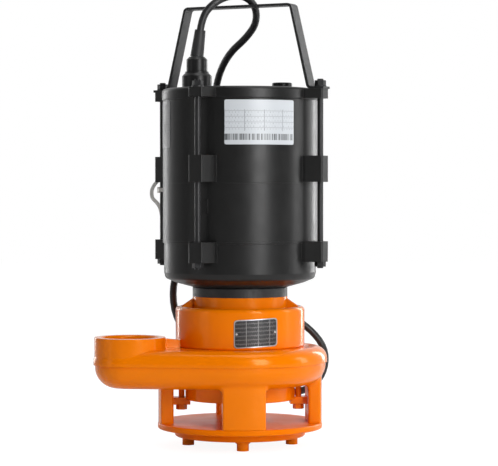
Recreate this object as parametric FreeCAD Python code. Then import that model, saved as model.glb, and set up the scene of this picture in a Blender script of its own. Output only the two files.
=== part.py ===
import FreeCAD, Part
import math
import os

os.makedirs("parts", exist_ok=True)

# Submersible contractor pump, standing on its feet.
# Row frame: millimetres, +Z up, origin on the pump axis at the floor.
# The discharge arm leaves towards -X and the front leg faces -Y.
# Bearings round the axis are given as turns from the front (-Y), positive towards +X.

V = FreeCAD.Vector
UP = V(0, 0, 1)

# Fits
slip = 0.3            # gap between neighbouring pieces
running_gap = 0.5     # rotor to stator
lip_gap = 0.05        # shaft to lip seal
spare = 5.0           # how far a cutting shape runs past a face

# Stand
foot_height = 12.7
foot_radius = 8.0
foot_collar_radius = 10.0
foot_collar = 3.0
foot_circle = 70.0
foot_count = 4
foot_turn = 3.0
foot_shank = 4.0
foot_edge = 1.0
foot_cover = 2.0      # metal left above the foot shanks
floor_plate_radius = 88.0
floor_plate_thick = 10.6
floor_plate_round = 2.5
base_plate_radius = 111.0
base_plate_thick = 7.9
base_plate_round = 2.0
leg_turns = (3.0, 93.0, 183.0, 273.0)
leg_outer = 110.5
leg_thick = 17.0
leg_half_width = 28.5
leg_corner = 3.5
leg_flare = 8.0
leg_screw = 4.0
leg_screw_depth = 16.0
leg_screw_head = 8.0
leg_screw_sink = 0.6

# Volute, a spiral of four arcs whose centres are the corners of a small square
volute_bottom = 82.5
volute_height = 51.5
volute_first_radius = 107.0
volute_step = 7.0
volute_wall = 7.0
shoulder = 16.5
band = 4.5
band_step = 2.0
belly = 28.0
port_x = -145.5
port_y = -60.0
port_outer = 47.0
port_band = 1.3
port_thread = 36.1
port_top = 149.5
port_chamfer = 2.5
arm_root = 25.0       # length of the arm's inner wall lost in the spiral
top_mouth = 61.0
web_thick = 9.0
web_rise = 13.0
web_fall = 9.0
web_run = 34.0
web_skew = 10.0
web_sink = 4.0        # how far the web is let into port and volute
web_shift = 16.0
screw_boss = 8.6
screw_boss_depth = 7.0

# Suction cover
eye_radius = 32.0
cover_ring_outer = 74.0
cover_ring_thick = 8.0
cover_drop = 20.5
cover_spigot = 69.0
cover_plate = 7.0
throat_rise = 8.0
throat_flare = 12.0
throat_wall = 8.0
throat_lip = 2.0
pocket_roof = 6.0
ear_width = 19.0
ear_thick = 10.0
ear_reach = 91.5
ear_circle = 79.0
ear_top = 65.0
cover_head = 7.0
cover_bolt = 4.0
cover_bolt_depth = 6.0
seal_cord = 2.5
seal_offset = 2.0

# Oil housing
bell_radius = 87.0
bell_wall = 7.0
bell_height = 53.5
bell_foot_round = 2.0
bell_rim_round = 5.0
bell_inner_round = 4.0
recess_floor = 30.0
recess_floor_thick = 8.0
ring_outer = 64.0
ring_inner = 45.0
ring_top = 201.0
gusset_turns = (80.0, 148.0, 212.0, 280.0)
gusset_thick = 6.0
housing_screw_circle = 72.0
housing_screw_count = 6
housing_screw_turn = 0.0
housing_floor = 9.0
housing_screw = 4.0
housing_screw_grip = 4.0
housing_screw_head = 5.3
drain_turn = 205.0
drain_height = 150.5
drain_radius = 5.0
drain_head_radius = 8.5
drain_head = 4.0
drain_socket = 3.5

# Bearing bracket and motor
bracket_thick = 12.5
bracket_hub_radius = 56.0
bracket_hub = 6.0
bracket_spigot = 7.5
bracket_screw = 3.0
bracket_screw_head = 5.0
bracket_screw_sink = 5.5
bracket_screw_depth = 14.0
bracket_screw_count = 4
bracket_screw_turn = 48.0
bearing_lip = 5.0
frame_bore = 70.0
frame_wall = 4.0
frame_floor = 5.0
frame_top = 359.5
stator_low = 247.5
stator_length = 88.0
stator_bore = 38.0
slot_count = 24
winding_height = 20.0
winding_inner = 44.0
winding_outer = 64.0
winding_round = 6.0
slot_width = 6.0
slot_depth = 12.0
slot_mouth = 2.6
slot_bridge = 5.0
ring_height = 10.0
ring_width = 13.0
ring_inset = 2.0
fin_count = 6
fin_width = 3.0
fin_height = 6.0
upper_bracket_thick = 7.0
jacket_radius = 104.0
jacket_wall = 3.5
bowl_inset = 1.5
bowl_rise = 20.0
bowl_waist = 86.0
pad_turn = -25.5
pad_size = (7.0, 3.0, 18.0)
pad_low = 314.0
jacket_low_seam = 276.0
jacket_mid_seam = 353.0
jacket_top_seam = 464.0
bowl_lip = 3.0
cap_height = 15.5
cap_overhang = 1.0
cap_thick = 5.0
gasket = 2.0
gasket_height = 1.5
gasket_inset = 0.8

# Tie rods and lugs
rod_offset = 15.5      # rod axis outside the jacket
rod_radius = 4.0
rod_turns = (-27.3, 62.7, 152.7, 242.7)
lug_past_rod = 7.5
lug_tip = 9.5
lug_root = 19.0
lug_tip_round = 3.0
lug_in = 6.0          # how far a lug is let into its shell
low_lug = (249.0, 27.0)
mid_lug = (354.5, 34.8)
top_lug = (465.0, 12.5)
nut_across = 13.0
nut_height = 6.5
washer_radius = 8.0
washer_thick = 1.6
rod_stub = 2.0

# Lifting handle
handle_turn = 62.7
strap_width = 20.0
strap_thick = 3.2
handle_past_rod = 9.0
handle_inside_rod = 13.5
handle_top_half = 79.0
handle_top = 592.0
handle_bend = 4.0

# Cable entry and cap plug
gland_x = -57.5
gland_y = -28.0
gland_base_radius = 20.0
gland_base_top = 501.5
gland_nut_radius = 14.0
gland_nut_top = 521.5
gland_bore = 7.0
gland_spigot = 10.0
gland_cone = 6.0
boot_top = 557.0
boot_lean = 4.5
boot_low_radius = 9.0
boot_high_radius = 7.2
cable_radius = 5.0
arc_share = 0.45      # part of each straight run that its arc takes up
terminal_size = (56.0, 22.0, 18.0)
terminal_corner = (-10.0, 38.0)
terminal_step = (14.0, 10.0)
terminal_well = 3.2
terminal_well_depth = 6.0
terminal_pitch = 10.5
terminal_first = (7.0, 7.0)
terminal_count = 5
can_radius = 19.0
can_height = 66.0
can_spot = (-46.0, 22.0)
tab_size = (6.0, 0.8, 9.0)
tab_spots = (-10.0, 4.0)
tab_root = 1.0
vent_x = 57.0
vent_y = 12.0
vent_radius = 13.7
vent_height = 9.5
vent_socket = 8.0
vent_socket_depth = 4.0
vent_spigot = 8.7
spigot_depth = 5.0

# Shaft line
shaft_low = 84.0
shaft_end = 6.0
key_size = (4.0, 5.0, 16.0)
key_drop = 20.0
impeller_nut_across = 16.0
impeller_seat = 9.0
seal_seat_radius = 11.0
seal_seat_width = 8.0
seal_face_width = 6.0
seal_half = 4.0
seal_face_top = 9.0
bellows_folds = 3
bellows_pitch = 5.0
bellows_land = 3.0
bellows_waist = 2.5
lip_outer = 21.0
lip_wall = 2.0
lip_height = 8.0
lip_rise = 4.5
lower_bearing_bore = 12.5
lower_bearing_outer = 26.0
lower_bearing_width = 15.0
lower_bearing_low = 205.5
rotor_seat = 15.0
upper_bearing_bore = 10.0
upper_bearing_outer = 23.5
upper_bearing_width = 14.0
upper_bearing_low = 364.5
ball_radius = 3.97
ball_gap = 0.33
cage_half = 0.9
cage_reach = 5.4
race_half = 3.0
lower_ball_count = 9
upper_ball_count = 8

# Impeller
impeller_radius = 62.0
impeller_back = 5.0
impeller_hub = 17.0
impeller_lift = 2.0
blade_count = 5
blade_thick = 4.0
blade_curve = 44.0
blade_offset = 30.0
tip_gap = 1.0

# Cable coil, tied behind the motor
coil_radius = 86.0
coil_section = 40.0
coil_corner = 8.0
coil_behind = 36.0     # coil's middle behind the jacket
coil_z = 337.5
plug_width = 28.0
plug_length = 50.0
plug_relief = 28.0
pin_radius = 2.4
pin_length = 18.0
pin_spread = 9.5
plug_edge = 3.0
plug_round = 6.0
relief_tip = 6.5
tie_thick = 1.3
tie_width = 5.0
tie_low = 341.5
tie_clear = 1.5       # gap round a tied rod or cable

# Sizes that follow from the ones above
rod_circle = jacket_radius + rod_offset
lug_reach = rod_circle + lug_past_rod
handle_foot = rod_circle + handle_past_rod
handle_root = rod_circle - handle_inside_rod
coil_y = jacket_radius + coil_behind
base_low = foot_height + floor_plate_thick
base_top = base_low + base_plate_thick
volute_top = volute_bottom + volute_height
cover_low = volute_bottom - cover_drop
cover_top = volute_bottom + cover_plate
cavity_top = volute_top - volute_wall
parting = volute_top - shoulder
bell_top = volute_top + bell_height
recess_z = volute_top + recess_floor
bracket_top = ring_top + bracket_thick
hub_top = bracket_top + bracket_hub
stator_high = stator_low + stator_length
cap_top = jacket_top_seam + cap_height
foot_shank_top = base_top - slip - foot_cover
leg_screw_circle = leg_outer - leg_thick / 2
screw_low = ring_top - bracket_screw_depth
socket_floor = bracket_top - bracket_screw_sink
thread_low = volute_bottom + volute_wall + belly / 2
seal_low = volute_bottom + seal_offset
housing_seal_low = volute_top - 2 * seal_cord
lug_seat = top_lug[0] + top_lug[1]
impeller_low = cover_top + tip_gap
impeller_top = cavity_top - tip_gap


def place(radius, turn, z=0.0):
    """Point at a radius and a turn from the front."""
    a = math.radians(turn)
    return V(radius * math.sin(a), -radius * math.cos(a), z)


def turned_to(shape, turn):
    """A shape made facing the front, moved round the axis to a turn."""
    moved = shape.copy()
    moved.rotate(V(0, 0, 0), UP, turn)
    return moved


def round_the_axis(shape, count, start=0.0):
    """Equal copies round the axis."""
    return [turned_to(shape, start + 360.0 * i / count) for i in range(count)]


def outline(points):
    """Closed wire through points; a fourth value rounds that corner."""
    spots = [V(*p[:3]) for p in points]
    radii = [p[3] if len(p) > 3 else 0.0 for p in points]
    ends = []
    arcs = []
    for i, spot in enumerate(spots):
        before = (spots[i - 1] - spot).normalize()
        after = (spots[(i + 1) % len(spots)] - spot).normalize()
        if radii[i] <= 0:
            ends.append((spot, spot))
            arcs.append(None)
            continue
        half = before.getAngle(after) / 2
        back = radii[i] / math.tan(half)
        middle = (before + after).normalize()
        centre = spot + middle * (radii[i] / math.sin(half))
        ends.append((spot + before * back, spot + after * back))
        arcs.append(centre - middle * radii[i])
    edges = []
    for i, (start, stop) in enumerate(ends):
        if arcs[i] is not None:
            edges.append(Part.Arc(start, arcs[i], stop).toShape())
        following = ends[(i + 1) % len(ends)][0]
        if stop.distanceToPoint(following) > 1e-6:
            edges.append(Part.LineSegment(stop, following).toShape())
    return Part.Wire(edges)


def spun(points):
    """Solid of revolution of (radius, z[, corner]) points about the Z axis."""
    flat = [(p[0], 0.0, p[1]) + tuple(p[2:]) for p in points]
    return Part.Face(outline(flat)).revolve(V(0, 0, 0), UP, 360)


def tube(outer, inner, low, high):
    """Plain ring."""
    return Part.makeCylinder(outer, high - low, V(0, 0, low)).cut(
        Part.makeCylinder(inner, high - low, V(0, 0, low)))


def hexagon(across, low, high, spot, twist=0.0):
    """Hexagonal prism about a vertical axis."""
    reach = across / math.sqrt(3)
    angles = [math.radians(60 * i + twist) for i in range(7)]
    corners = [V(spot.x + reach * math.cos(a), spot.y + reach * math.sin(a), low) for a in angles]
    return Part.Face(Part.makePolygon(corners)).extrude(V(0, 0, high - low))


def rod(spot, radius, low, high):
    """Upright cylinder."""
    return Part.makeCylinder(radius, high - low, V(spot.x, spot.y, low))


def joined(shapes):
    """Solids fused into one."""
    return shapes[0].multiFuse(shapes[1:]).removeSplitter() if len(shapes) > 1 else shapes[0]


def save(name, solids):
    """One STEP file per node; several solids make a group."""
    group = solids if isinstance(solids, list) else [solids]
    kept = []
    for shape in group:
        kept.extend(shape.Solids)
    whole = kept[0] if len(kept) == 1 else Part.makeCompound(kept)
    whole.exportStep("parts/" + name + ".step")
    print(name, len(kept), "solids", round(whole.Volume, 1), "valid", whole.isValid())


# Stand

def stub_feet():
    body = spun([(0, 0), (foot_radius, 0), (foot_radius, foot_height - foot_collar),
                 (foot_collar_radius, foot_height - foot_collar, foot_edge),
                 (foot_collar_radius, foot_height), (foot_shank, foot_height),
                 (foot_shank, foot_shank_top), (0, foot_shank_top)])
    body.translate(place(foot_circle, 0))
    return round_the_axis(body, foot_count, foot_turn)


def foot_holes():
    hole = rod(place(foot_circle, 0), foot_shank, foot_height, foot_shank_top)
    return round_the_axis(hole, foot_count, foot_turn)


def floor_plate():
    plate = spun([(0, foot_height), (floor_plate_radius, foot_height, floor_plate_round),
                  (floor_plate_radius, base_low), (0, base_low)])
    return plate.cut(Part.makeCompound(foot_holes()))


def leg_screw_tool():
    """Countersunk screw under a leg, head in the base plate."""
    low = base_low + leg_screw_sink
    tool = spun([(0, low), (leg_screw_head, low), (leg_screw, low + leg_screw_head - leg_screw),
                 (leg_screw, base_top + leg_screw_depth), (0, base_top + leg_screw_depth)])
    tool.translate(place(leg_screw_circle, 0))
    return [turned_to(tool, turn) for turn in leg_turns]


def base_plate():
    plate = spun([(0, base_low), (base_plate_radius, base_low, base_plate_round),
                  (base_plate_radius, base_top, base_plate_round), (0, base_top)])
    heads = [rod(place(leg_screw_circle, turn), leg_screw_head, base_low - spare, base_low + leg_screw_sink)
             for turn in leg_turns]
    return plate.cut(Part.makeCompound(foot_holes() + leg_screw_tool() + heads))


def leg(turn):
    """One cast leg that runs up into the volute's wall."""
    low = base_top
    high = parting - band
    edge = leg_half_width
    slab = Part.makeBox(2 * edge, leg_outer, high - low, V(-edge, -leg_outer - spare, low))
    wall = tube(leg_outer, leg_outer - leg_thick, low - spare, high + spare)
    post = slab.common(wall)
    upright = [e for e in post.Edges if abs(e.tangentAt(e.FirstParameter).z) > 0.99]
    return turned_to(post.makeFillet(leg_corner, upright), turn)


def leg_creases(solid, turn):
    """Edges where a leg's outside and sides meet the volute."""
    found = []
    for edge in solid.Edges:
        half_way = (edge.FirstParameter + edge.LastParameter) / 2
        spot = edge.valueAt(half_way)
        facing = turned_to(Part.Vertex(spot), -turn).Point
        reach = math.hypot(spot.x, spot.y)
        near = facing.y < -leg_outer / 2 and abs(facing.x) < leg_half_width + slip
        level = volute_bottom - slip < spot.z < volute_bottom + belly
        on_side = abs(facing.x) > leg_half_width - leg_corner - slip
        on_face = min(abs(reach - leg_outer), abs(reach - leg_outer + leg_thick)) < slip
        steep = abs(edge.tangentAt(half_way).z) > 0.98
        if near and level and (on_side or on_face) and not steep:
            found.append(edge)
    return found


# Volute

def wall_section(radius, inset):
    """Half section of the volute, from its arc's centre out to its wall."""
    top = volute_top - inset
    low = volute_bottom + inset
    out = radius - inset
    if inset > 0:
        return [(0, low), (out, low, belly - inset), (out, top, shoulder - inset), (0, top)]
    return [(0, low), (out - band_step, low, belly), (out - band_step, parting - band),
            (out, parting - band), (out, top, shoulder), (0, top)]


def section_face(radius, inset):
    return Part.Face(outline([(p[0], 0.0, p[1]) + tuple(p[2:]) for p in wall_section(radius, inset)]))


def arc_part(radius, inset, centre, start, sweep):
    """Stretch of the spiral; start and sweep in degrees from +X."""
    solid = section_face(radius, inset).revolve(V(0, 0, 0), UP, sweep)
    solid.rotate(V(0, 0, 0), UP, start)
    solid.translate(V(centre[0], centre[1], 0))
    return solid


def arm_geometry():
    """Angle of the straight arm and the corner of its outer wall on the last arc."""
    half = volute_step / 2
    last = volute_first_radius + 3 * volute_step
    cx = -half
    cy = half
    far = math.hypot(port_x - cx, port_y - cy)
    bearing = math.atan2(port_y - cy, port_x - cx)
    end_radius = port_outer + port_band
    lean = math.acos((last - end_radius) / far)
    normal = bearing + lean
    return cx, cy, last, normal, end_radius


def spiral(inset):
    """Volute body or its hollow: four arcs, the straight arm and its round end."""
    half = volute_step / 2
    first = volute_first_radius
    cx, cy, last, normal, end_radius = arm_geometry()
    stop = math.degrees(normal) % 360 - 360
    pieces = [arc_part(first, inset, (half, half), 0, 360),
              arc_part(first + volute_step, inset, (half, -half), 0, 90),
              arc_part(first + 2 * volute_step, inset, (-half, -half), -90, 90),
              arc_part(last, inset, (cx, cy), stop, -90 - stop)]
    run = V(port_x - cx, port_y - cy, 0)
    along = V(math.sin(normal), -math.cos(normal), 0)
    length = run.dot(along)
    wall = section_face(last, inset)
    wall.rotate(V(0, 0, 0), UP, math.degrees(normal))
    wall.translate(V(cx, cy, 0))
    straight = wall.extrude(along * length)
    end = arc_part(end_radius, inset, (port_x, port_y), 0, 360)
    inner = section_face(end_radius, inset)
    inner.rotate(V(0, 0, 0), UP, math.degrees(normal) + 180)
    inner.translate(V(port_x, port_y, 0))
    back_wall = inner.extrude(along * -(length - arm_root))
    outer_half = section_face(end_radius, inset)
    outer_half.rotate(V(0, 0, 0), UP, math.degrees(normal))
    outer_half.translate(V(port_x, port_y, 0))
    front_wall = outer_half.extrude(along * -length)
    keep = arm_keep(V(cx, cy, 0), along, normal, length, last, end_radius)
    return pieces, straight.common(keep), end, back_wall, front_wall


def arm_keep(origin, along, normal, length, last, end_radius):
    """Block that holds only the arm side of the straight stretch."""
    out = V(math.cos(normal), math.sin(normal), 0)
    p1 = origin + out * (last - 2 * end_radius + spare)
    p2 = origin + out * (last + spare)
    corners = [p1, p2, p2 + along * length, p1 + along * length, p1]
    face = Part.Face(Part.makePolygon([V(c.x, c.y, volute_bottom - spare) for c in corners]))
    return face.extrude(V(0, 0, volute_height + 2 * spare))


def port_web():
    """Rib from the discharge boss to the oil housing."""
    low = V(port_x + port_outer - 2 * web_sink, port_y + web_shift, volute_top - web_sink)
    far = low + V(web_run, web_skew, 0)
    side = Part.makePolygon([low, far, far + UP * (web_fall + web_sink), low + UP * (web_rise + web_sink), low])
    web = Part.Face(side).extrude(V(0, web_thick, 0))
    return web.cut(Part.makeCylinder(bell_radius + slip, bell_height, V(0, 0, volute_top)))


def screw_columns(low, high):
    """Round metal about each screw of the oil housing."""
    column = rod(place(housing_screw_circle, housing_screw_turn), screw_boss, low, high)
    return round_the_axis(column, housing_screw_count)


def volute_casing():
    pieces, straight, end, back_wall, front_wall = spiral(0.0)
    legs = [leg(turn) for turn in leg_turns]
    solid = joined(pieces + [straight, end, back_wall, front_wall] + legs)
    for turn in leg_turns[:2]:
        solid = solid.makeFillet(leg_flare, leg_creases(solid, turn))
    port = Part.makeCylinder(port_outer, port_top - parting + band, V(port_x, port_y, parting - band))
    solid = joined([solid, port, port_web()])
    pieces, straight, end, back_wall, front_wall = spiral(volute_wall)
    hollow = joined(pieces + [straight, end, back_wall, front_wall])
    seat = Part.makeCylinder(cover_spigot, volute_wall + spare, V(0, 0, volute_bottom - spare))
    mouth = Part.makeCylinder(top_mouth, volute_wall + 2 * spare, V(0, 0, cavity_top - spare))
    thread = Part.makeCylinder(port_thread, port_top - thread_low, V(port_x, port_y, thread_low))
    lead_in = Part.makeCone(port_thread, port_thread + port_chamfer, port_chamfer,
                            V(port_x, port_y, port_top - port_chamfer))
    solid = solid.cut(joined([hollow, seat, mouth, thread, lead_in]))
    solid = joined([solid] + screw_columns(cavity_top - screw_boss_depth, cavity_top + 1))
    return solid.cut(Part.makeCompound(leg_screw_tool() + cover_bolt_tool() + housing_screw_tool()))


# Suction cover

def cover_bolt_tool():
    """Shank of each cover bolt, up into the volute."""
    return [rod(place(ear_circle, turn), cover_bolt, ear_top - ear_thick, volute_bottom + cover_bolt_depth)
            for turn in leg_turns]


def cover_bolts():
    bolts = []
    for turn in leg_turns:
        spot = place(ear_circle, turn)
        under = ear_top - ear_thick
        shank = rod(spot, cover_bolt, under, volute_bottom + cover_bolt_depth)
        bolts.append(joined([shank, hexagon(nut_across, under - cover_head, under, spot)]))
    return bolts


def suction_cover():
    ring_in = cover_ring_outer - cover_ring_thick
    wall = eye_radius + throat_wall
    roof = volute_bottom - pocket_roof
    body = spun([(eye_radius, cover_low + throat_rise, 3.0), (eye_radius + throat_flare, cover_low),
                 (cover_ring_outer, cover_low, 1.5), (cover_ring_outer, volute_bottom),
                 (cover_spigot - slip, volute_bottom), (cover_spigot - slip, cover_top),
                 (eye_radius, cover_top)])
    pocket = spun([(eye_radius + throat_flare + throat_lip, cover_low - 1), (ring_in, cover_low - 1),
                   (ring_in, roof, 4.0), (wall, roof, 4.0), (wall, cover_low + pocket_roof)])
    body = body.cut(pocket)
    ear = Part.makeBox(ear_width, ear_reach, ear_thick, V(-ear_width / 2, -ear_reach, ear_top - ear_thick))
    ear = ear.common(tube(ear_reach, ring_in + 2, ear_top - ear_thick, ear_top))
    body = joined([body] + [turned_to(ear, turn) for turn in leg_turns])
    return body.cut(Part.makeCompound([cover_seal()] + cover_bolt_tool()))


def cover_seal():
    return tube(cover_spigot, cover_spigot - seal_cord, seal_low, seal_low + seal_cord)


# Oil housing

def housing_screw_shank():
    spot = place(housing_screw_circle, housing_screw_turn)
    return rod(spot, housing_screw, cavity_top - housing_screw_grip, recess_z)


def housing_screw_tool():
    return round_the_axis(housing_screw_shank(), housing_screw_count)


def housing_screws():
    spot = place(housing_screw_circle, housing_screw_turn)
    head = hexagon(nut_across, recess_z, recess_z + housing_screw_head, spot, housing_screw_turn)
    return round_the_axis(joined([housing_screw_shank(), head]), housing_screw_count)


def oil_housing():
    """Bell with a closed oil room below and a recess round the bracket's ring above."""
    inner = bell_radius - bell_wall
    roof = recess_z - recess_floor_thick
    low = volute_top - housing_floor + seal_offset
    floor_top = volute_top + seal_half
    spigot = top_mouth - slip
    seat = seal_seat_radius + seal_seat_width
    body = spun([(seat, low), (spigot, low), (spigot, volute_top), (bell_radius, volute_top, bell_foot_round),
                 (bell_radius, bell_top, bell_rim_round), (inner, bell_top, 1.0), (inner, recess_z, 0.8),
                 (ring_outer, recess_z, 1.0), (ring_outer, ring_top), (ring_inner, ring_top),
                 (ring_inner, roof), (inner, roof, bell_inner_round), (inner, floor_top, bell_inner_round),
                 (seat, floor_top)])
    ribs = [turned_to(gusset(inner), turn) for turn in gusset_turns]
    body = joined([body] + ribs + screw_columns(volute_top + 2, recess_z - 2))
    tools = housing_screw_tool() + bracket_screw_tool() + [drain_pin(), housing_seal()]
    return body.cut(Part.makeCompound(tools))


def gusset(inner):
    """Sloping rib in the bell's recess."""
    root = -ring_outer + 2
    tip = -inner - 2
    low = recess_z - 2
    side = Part.makePolygon([V(0, root, low), V(0, tip, low), V(0, tip, bell_top - 1), V(0, root, ring_top - 1),
                             V(0, root, low)])
    face = Part.Face(side)
    face.translate(V(-gusset_thick / 2, 0, 0))
    return face.extrude(V(gusset_thick, 0, 0))


def housing_seal():
    return tube(top_mouth, top_mouth - seal_cord, housing_seal_low, housing_seal_low + seal_cord)


def drain_pin():
    pin = Part.makeCylinder(drain_radius, bell_wall + 1, V(0, -bell_radius - 1, drain_height), V(0, 1, 0))
    return turned_to(pin, drain_turn)


def oil_plug():
    front = -bell_radius - drain_head - 1
    head = Part.makeCylinder(drain_head_radius, drain_head, V(0, front, drain_height), V(0, 1, 0))
    socket = Part.makeCylinder(drain_socket, drain_socket, V(0, front - 1, drain_height), V(0, 1, 0))
    return joined([drain_pin(), turned_to(head, drain_turn)]).cut(turned_to(socket, drain_turn))


# Shaft seals

def seal_seat():
    """Still ring of the shaft seal, in the housing floor."""
    return tube(seal_seat_radius + seal_seat_width, seal_seat_radius + slip, volute_top - seal_half,
                volute_top + seal_half)


def seal_face():
    return tube(seal_seat_radius + seal_face_width, seal_seat_radius, volute_top + seal_half + slip,
                volute_top + seal_face_top)


def seal_bellows():
    """Rubber bellows that presses the seal's turning ring down."""
    low = volute_top + seal_face_top
    inner = seal_seat_radius
    outer = inner + seal_face_width
    high = low + 2 * bellows_land + bellows_folds * bellows_pitch
    points = [(inner, low), (outer, low)]
    for i in range(bellows_folds):
        z = low + bellows_land + i * bellows_pitch
        points += [(outer, z), (inner + bellows_waist, z + bellows_pitch / 2)]
    points += [(outer, high - bellows_land), (outer, high), (inner, high)]
    return spun(points)


def lip_seal():
    low = ring_top - bracket_spigot
    inner = seal_seat_radius + lip_gap
    return spun([(inner, low), (lip_outer, low), (lip_outer, low + lip_height),
                 (lip_outer - lip_wall, low + lip_height), (lip_outer - lip_wall, low + lip_wall),
                 (inner + lip_wall, low + lip_wall), (inner, low + lip_rise)])


# Bearing bracket

def about_bracket(shape):
    """A shape made at the first bracket screw, repeated at all of them."""
    return round_the_axis(shape, bracket_screw_count, bracket_screw_turn)


def bracket_screw_spot():
    return place((ring_inner + ring_outer) / 2, 0)


def bracket_screw_tool():
    return about_bracket(rod(bracket_screw_spot(), bracket_screw, screw_low, socket_floor))


def bracket_screws():
    spot = bracket_screw_spot()
    shank = rod(spot, bracket_screw, screw_low, socket_floor)
    head = rod(spot, bracket_screw_head, socket_floor, bracket_top - slip)
    socket = hexagon(bracket_screw_head, socket_floor + 2, bracket_top, spot)
    return about_bracket(joined([shank, head]).cut(socket))


def bearing_bracket():
    low = ring_top - bracket_spigot
    lip = lower_bearing_outer - bearing_lip
    body = spun([(lip, low), (ring_inner - slip, low, 2.0), (ring_inner - slip, ring_top),
                 (ring_outer, ring_top), (ring_outer, bracket_top, 1.5), (bracket_hub_radius, bracket_top),
                 (bracket_hub_radius, hub_top), (lower_bearing_outer, hub_top),
                 (lower_bearing_outer, lower_bearing_low), (lip, lower_bearing_low)])
    sinks = about_bracket(rod(bracket_screw_spot(), bracket_screw_head, socket_floor, hub_top + spare))
    return body.cut(Part.makeCompound(sinks + bracket_screw_tool()))


# Ball bearings

def race_groove(pitch_radius, low, width):
    groove = Part.makeTorus(pitch_radius, ball_radius + ball_gap)
    groove.translate(V(0, 0, low + width / 2))
    return groove


def outer_race(bore, outer, low, width):
    middle = (bore + outer) / 2
    return tube(outer, middle + race_half, low, low + width).cut(race_groove(middle, low, width))


def inner_race(bore, outer, low, width):
    middle = (bore + outer) / 2
    return tube(middle - race_half, bore, low, low + width).cut(race_groove(middle, low, width))


def ball_cage(bore, outer, low, width, count):
    middle = (bore + outer) / 2
    level = low + width / 2
    ring = tube(middle + cage_half, middle - cage_half, level - cage_reach, level + cage_reach)
    ball = Part.makeSphere(ball_radius, place(middle, 0, level))
    pocket = Part.makeCylinder(ball_radius + ball_gap / 2, 2 * spare, place(middle + spare, 0, level), V(0, 1, 0))
    return [ring.cut(Part.makeCompound(round_the_axis(pocket, count)))] + round_the_axis(ball, count)


# Motor

def shaft():
    step = impeller_low + impeller_lift
    neck = lower_bearing_low - 2
    shelf = lower_bearing_low + lower_bearing_width
    collar = upper_bearing_bore + race_half
    end = upper_bearing_low + upper_bearing_width + 2
    return spun([(0, shaft_low), (shaft_end, shaft_low), (shaft_end, step), (impeller_seat, step),
                 (impeller_seat, impeller_top), (seal_seat_radius, impeller_top), (seal_seat_radius, neck),
                 (lower_bearing_bore, neck), (lower_bearing_bore, shelf), (rotor_seat, shelf),
                 (rotor_seat, upper_bearing_low - 2), (collar, upper_bearing_low - 2),
                 (collar, upper_bearing_low), (upper_bearing_bore, upper_bearing_low),
                 (upper_bearing_bore, end, 1.0), (0, end)]).cut(impeller_key())


def impeller_key():
    wide, deep, tall = key_size
    return Part.makeBox(wide, deep, tall, V(-wide / 2, -impeller_seat - deep / 2, impeller_top - key_drop))


def impeller_nut():
    nut = hexagon(impeller_nut_across, shaft_low + 1.0, impeller_low + impeller_lift - slip, V(0, 0, 0))
    return nut.cut(Part.makeCylinder(shaft_end, key_drop, V(0, 0, shaft_low)))


def impeller():
    """Semi-open wheel: back plate, hub and swept blades."""
    back_low = impeller_top - impeller_back
    low = impeller_low + impeller_lift
    hub = spun([(impeller_seat, low), (impeller_hub - 3, low, 3.0),
                (impeller_hub, back_low - 6, 4.0), (impeller_hub + 8, back_low),
                (impeller_radius, back_low), (impeller_radius, impeller_top, 1.0),
                (impeller_seat, impeller_top)])
    tall = back_low + 1 - impeller_low
    blade = Part.makeCylinder(blade_curve, tall, V(blade_offset, 0, impeller_low))
    blade = blade.cut(Part.makeCylinder(blade_curve - blade_thick, tall, V(blade_offset, 0, impeller_low)))
    half = Part.makeBox(4 * blade_curve, 2 * blade_curve, tall, V(-2 * blade_curve, 0, impeller_low))
    ring = tube(impeller_radius, impeller_hub - blade_thick, impeller_low, impeller_low + tall)
    blade = blade.common(half).common(ring)
    wheel = joined([hub] + round_the_axis(blade, blade_count))
    return wheel.cut(impeller_key())


def rotor_core():
    return tube(stator_bore - running_gap, rotor_seat, stator_low, stator_high)


def rotor_rings():
    """Cast end rings with cooling fins."""
    outer = stator_bore - running_gap - ring_inset
    rings = []
    for low, fin_low in ((stator_low - ring_height, stator_low - ring_height - fin_height),
                         (stator_high, stator_high + ring_height)):
        ring = tube(outer, outer - ring_width, low, low + ring_height)
        fin = Part.makeBox(fin_width, ring_width - 2 * ring_inset, fin_height,
                           V(-fin_width / 2, -outer + ring_inset, fin_low))
        rings.append(joined([ring] + round_the_axis(fin, fin_count)))
    return rings


def stator_core():
    """Stacked core with open slots towards the rotor."""
    core = tube(frame_bore, stator_bore, stator_low, stator_high)
    opening = Part.makeBox(slot_mouth, slot_bridge + 3, stator_length,
                           V(-slot_mouth / 2, -stator_bore - slot_bridge - 1, stator_low))
    slot = Part.makeBox(slot_width, slot_depth, stator_length,
                        V(-slot_width / 2, -stator_bore - slot_bridge - slot_depth, stator_low))
    tool = joined([opening, slot])
    return core.cut(Part.makeCompound(round_the_axis(tool, slot_count)))


def winding(low, high):
    """End turns of the stator winding."""
    return spun([(winding_inner, low, winding_round), (winding_outer, low, winding_round),
                 (winding_outer, high, winding_round), (winding_inner, high, winding_round)])


def stator_frame():
    outer = frame_bore + frame_wall
    return spun([(lower_bearing_outer + 10, hub_top), (outer, hub_top, 3.0), (outer, frame_top),
                 (frame_bore, frame_top), (frame_bore, hub_top + frame_floor, 3.0),
                 (lower_bearing_outer + 10, hub_top + frame_floor)])


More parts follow.
